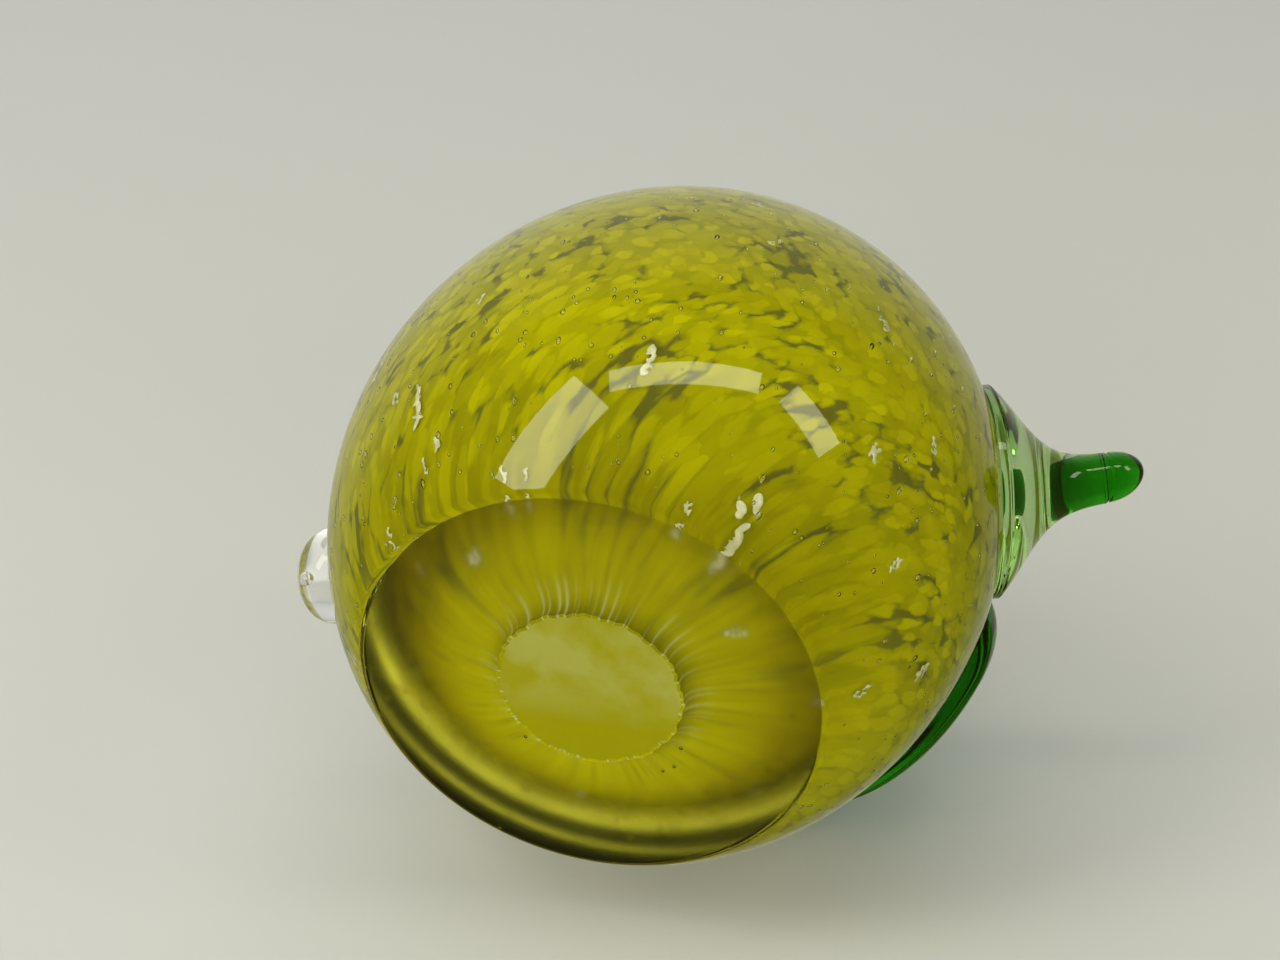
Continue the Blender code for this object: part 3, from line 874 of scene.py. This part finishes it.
# leaf
leafLook = {
    "fromFoot": 0.0003, "swing": 10.0, "length": 0.0414, "width": 0.0320, "root": 0.40, "end": 0.06,
    "swell": 0.9, "fullness": 0.8, "bluntness": 8, "thickness": 0.0049, "edge": 0.0032,
    "edgePower": 3, "point": 0.0012, "pointPower": 10, "lean": 0.20,
    "ribDepth": 0.0014, "ribWidth": 0.0060, "sink": 0.0001, "lift": 0.00025,
    "rootRounding": 0.16, "rounding": 0.12,  # how far in the root and the edge are rounded
    "roundedRoot": 0.15, "roundedEdge": 0.35,  # what is left of the thickness there
    "cast": (0.06, 0.88, 0.02), "castDepth": 330.0, "rippleScale": 120.0, "ripple": 0.00008,
    "stepsAlong": 96, "stepsAcross": 64, "crease": 50.0,
}


def leafHalfWidth(along):
    look = leafLook
    belly = math.sin(math.pi * along ** look["swell"]) ** look["fullness"] if 0 < along < 1 else 0.0
    share = (look["root"] + (1 - look["root"]) * belly) * (1 - along ** look["bluntness"])
    return look["width"] / 2 * (look["end"] + (1 - look["end"]) * share)


def leafThickness(along, across):
    look = leafLook
    full = look["edge"] + (look["thickness"] - look["edge"]) * (1 - abs(across) ** look["edgePower"])
    rib = look["ribDepth"] * math.exp(-((2 * across * leafHalfWidth(along) / look["ribWidth"]) ** 2))
    taper = along ** look["pointPower"]
    thick = ((full - rib) * (1 - taper) + look["point"] * taper) * (1 + look["lean"] * across)
    nearEdge = max(0.0, 1 - (1 - abs(across)) / look["rounding"])
    nearRoot = max(0.0, 1 - along / look["rootRounding"])
    thick *= look["roundedRoot"] + (1 - look["roundedRoot"]) * math.sqrt(max(0.0, 1 - nearRoot**2))
    return thick * (look["roundedEdge"] + (1 - look["roundedEdge"]) * math.sqrt(max(0.0, 1 - nearEdge**2)))


bpy.ops.object.select_all(action="DESELECT")
bpy.ops.mesh.primitive_grid_add(
    x_subdivisions=leafLook["stepsAlong"], y_subdivisions=leafLook["stepsAcross"], size=2.0
)
leaf = bpy.context.object
leaf.name = leaf.data.name = "leaf_glass"
bpy.ops.object.mode_set(mode="EDIT")
bpy.ops.mesh.select_all(action="SELECT")
bpy.ops.mesh.extrude_region_move(TRANSFORM_OT_translate={"value": (0, 0, 1.0)})
bpy.ops.object.mode_set(mode="OBJECT")
leafAxes = axesAlong(stemAxis, -up)
swing = math.radians(leafLook["swing"])
leafRun = leafAxes.col[0] * math.cos(swing) + leafAxes.col[1] * math.sin(swing)
leafSide = stemAxis.cross(leafRun)
firstAngle = math.asin((stemLook["foot"] + leafLook["fromFoot"]) / roundRadius)
for vertex in leaf.data.vertices:
    along, over = (vertex.co.x + 1) / 2, vertex.co.z > 0.5
    across = math.sin(0.5 * math.pi * vertex.co.y)  # columns stand closer at the edges
    angle = firstAngle + along * leafLook["length"] / roundRadius
    middle = stemAxis * math.cos(angle) + leafRun * math.sin(angle)
    reach = across * leafHalfWidth(along) / roundRadius
    direction = middle * math.cos(reach) + leafSide * math.sin(reach)
    lift = leafLook["lift"] + leafThickness(along, across) if over else -leafLook["sink"]
    vertex.co = onOval(roundRadius, direction, lift)
pick(leaf)
bpy.ops.object.mode_set(mode="EDIT")
bpy.ops.mesh.select_all(action="SELECT")
bpy.ops.mesh.normals_make_consistent(inside=False)
bpy.ops.object.mode_set(mode="OBJECT")
bpy.ops.object.shade_smooth_by_angle(angle=math.radians(leafLook["crease"]))
leafMaterial, leafTree = glass("leaf_green", leafLook["rippleScale"], leafLook["ripple"])
absorb(leafTree, leafLook["cast"], leafLook["castDepth"])
leaf.data.materials.append(leafMaterial)
bpy.data.objects.remove(bubble)
print("leaf made")

for piece, cadNode, slotName in (
    (fritLayer, "yellow_frit_layer", "yellow_frit"),
    (core, "core", "core_glass"),
    (casing, "clear_casing", "clear_glass"),
    (airPockets, None, "clear_glass"),
    (stem, "stem", "stem_glass"),
    (rod, "stem_core", "green_glass"),
    (tip, "blossom_tip", "tip_glass"),
    (leaf, "leaf", "leaf_glass"),
):
    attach(piece, "root")
    if cadNode:
        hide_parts(cadNode)

# floor with a sweep behind, soft light and camera
bpy.ops.object.select_all(action="DESELECT")
floorMiddle = studio["floorBack"] - studio["floorWidth"] / 2
bpy.ops.mesh.primitive_plane_add(size=studio["floorWidth"], location=(0, floorMiddle, 0))
floor = bpy.context.object
floor.name = "floor"
bpy.ops.object.transform_apply(location=True)
bpy.ops.object.mode_set(mode="EDIT")
bpy.ops.mesh.select_mode(type="EDGE")
bpy.ops.mesh.select_all(action="DESELECT")
bpy.ops.object.mode_set(mode="OBJECT")
for edge in floor.data.edges:
    ends = [floor.data.vertices[i].co for i in edge.vertices]
    edge.select = all(end.y > studio["floorBack"] - studio["near"] for end in ends)
bpy.ops.object.mode_set(mode="EDIT")
bpy.ops.mesh.extrude_region_move(TRANSFORM_OT_translate={"value": (0, 0, studio["sweepHeight"])})
bpy.ops.mesh.select_all(action="DESELECT")
bpy.ops.object.mode_set(mode="OBJECT")
for edge in floor.data.edges:
    ends = [floor.data.vertices[i].co for i in edge.vertices]
    atBack = all(end.y > studio["floorBack"] - studio["near"] for end in ends)
    edge.select = atBack and all(end.z < studio["near"] for end in ends)
bpy.ops.object.mode_set(mode="EDIT")
bpy.ops.mesh.bevel(offset=studio["sweepRadius"], segments=studio["sweepSteps"], affect="EDGES")
bpy.ops.object.mode_set(mode="OBJECT")
bpy.ops.object.shade_smooth()
floorMaterial, _, floorShader = newMaterial("pale_floor")
floorShader.inputs["Base Color"].default_value = (*studio["floorColour"], 1)
floorShader.inputs["Roughness"].default_value = studio["floorRoughness"]
floorShader.inputs["Specular IOR Level"].default_value = studio["floorShine"]
floor.data.materials.append(floorMaterial)
floor.visible_glossy = False  # lights the glass but is not mirrored in it

world = bpy.data.worlds.new("studio")
bpy.context.scene.world = world
world.use_nodes = True
sky = world.node_tree
outwards = node(sky, "ShaderNodeTexCoord").outputs["Generated"]
facing = node(sky, "ShaderNodeVectorMath", operation="DOT_PRODUCT")
sky.links.new(outwards, facing.inputs[0])
facing.inputs[1].default_value = Vector(studio["backdrop"]).normalized()
glowing = ramp(sky, facing.outputs["Value"], (studio["brightFrom"], studio["dim"]), (1.0, studio["bright"]))
seenPlain = node(sky, "ShaderNodeLightPath").outputs["Is Camera Ray"]
shown = mixed(sky, seenPlain, glowing, studio["farGrey"])
sky.links.new(shown, sky.nodes["Background"].inputs["Color"])

# the first three are mirrored in the glass; the soft ones only light it
# towards is a panel's place from the fruit's centre, along the way its first side runs
panels = {
    "left": {
        "towards": (-0.572, -0.320, 0.658), "along": (0.62, 0.37, 0.69), "size": (0.58, 0.30), "glow": 4.4,
    },
    "middle": {
        "towards": (0.058, -0.201, 0.897), "along": (0.99, 0.01, -0.14), "size": (0.76, 0.13), "glow": 4.4,
    },
    "right": {
        "towards": (0.679, -0.254, 0.659), "along": (0.56, -0.33, -0.76), "size": (0.36, 0.16), "glow": 4.4,
    },
    "softTop": {
        "towards": (-0.20, 0.30, 0.90), "along": (1, 0, 0), "size": (1.50, 1.30), "glow": 0.56,
    },
    "softFront": {
        "towards": (0.28, -1.90, 0.50), "along": (1, 0, 0), "size": (2.60, 1.10), "glow": 2.80,
    },
    "softLow": {
        "towards": (-1.00, -1.66, 0.44), "along": (0.82, -0.50, 0), "size": (1.80, 0.90), "glow": 3.00,
    },
    "softLeft": {
        "towards": (-1.90, -0.50, 0.44), "along": (0.25, -0.95, 0), "size": (2.40, 1.20), "glow": 1.20,
    },
}
for name, panel in panels.items():
    towards = Vector(panel["towards"])
    light = bpy.data.lights.new("panel_" + name, "AREA")
    light.shape = "RECTANGLE"
    light.size, light.size_y = panel["size"]
    light.energy = panel["glow"] * math.pi * panel["size"][0] * panel["size"][1]
    lamp = bpy.data.objects.new("panel_" + name, light)
    bpy.context.scene.collection.objects.link(lamp)
    turned = axesAlong(towards.normalized(), Vector(panel["along"])).to_4x4()
    lamp.matrix_world = Matrix.Translation(fruitCentre + towards) @ turned
    lamp.visible_glossy = not name.startswith("soft")
    light.color = studio["lampTint"] if lamp.visible_glossy else (1, 1, 1)
    lamp.visible_camera = False

cameraData = bpy.data.cameras.new("camera")
cameraData.lens = studio["lens"]
cameraData.sensor_width = studio["sensor"]
cameraData.shift_x = (studio["imageWidth"] / 2 - studio["middle"][0]) / studio["imageWidth"]
cameraData.shift_y = (studio["middle"][1] - studio["imageHeight"] / 2) / studio["imageWidth"]
camera = bpy.data.objects.new("camera", cameraData)
bpy.context.scene.collection.objects.link(camera)
camera.location = fruitCentre + cameraBack * studio["distance"]
camera.rotation_euler = cameraBack.to_track_quat("Z", "Y").to_euler()
cameraData.clip_start = studio["clipStart"]
bpy.context.scene.camera = camera
bpy.context.scene.view_settings.view_transform = "Standard"
print("studio set")
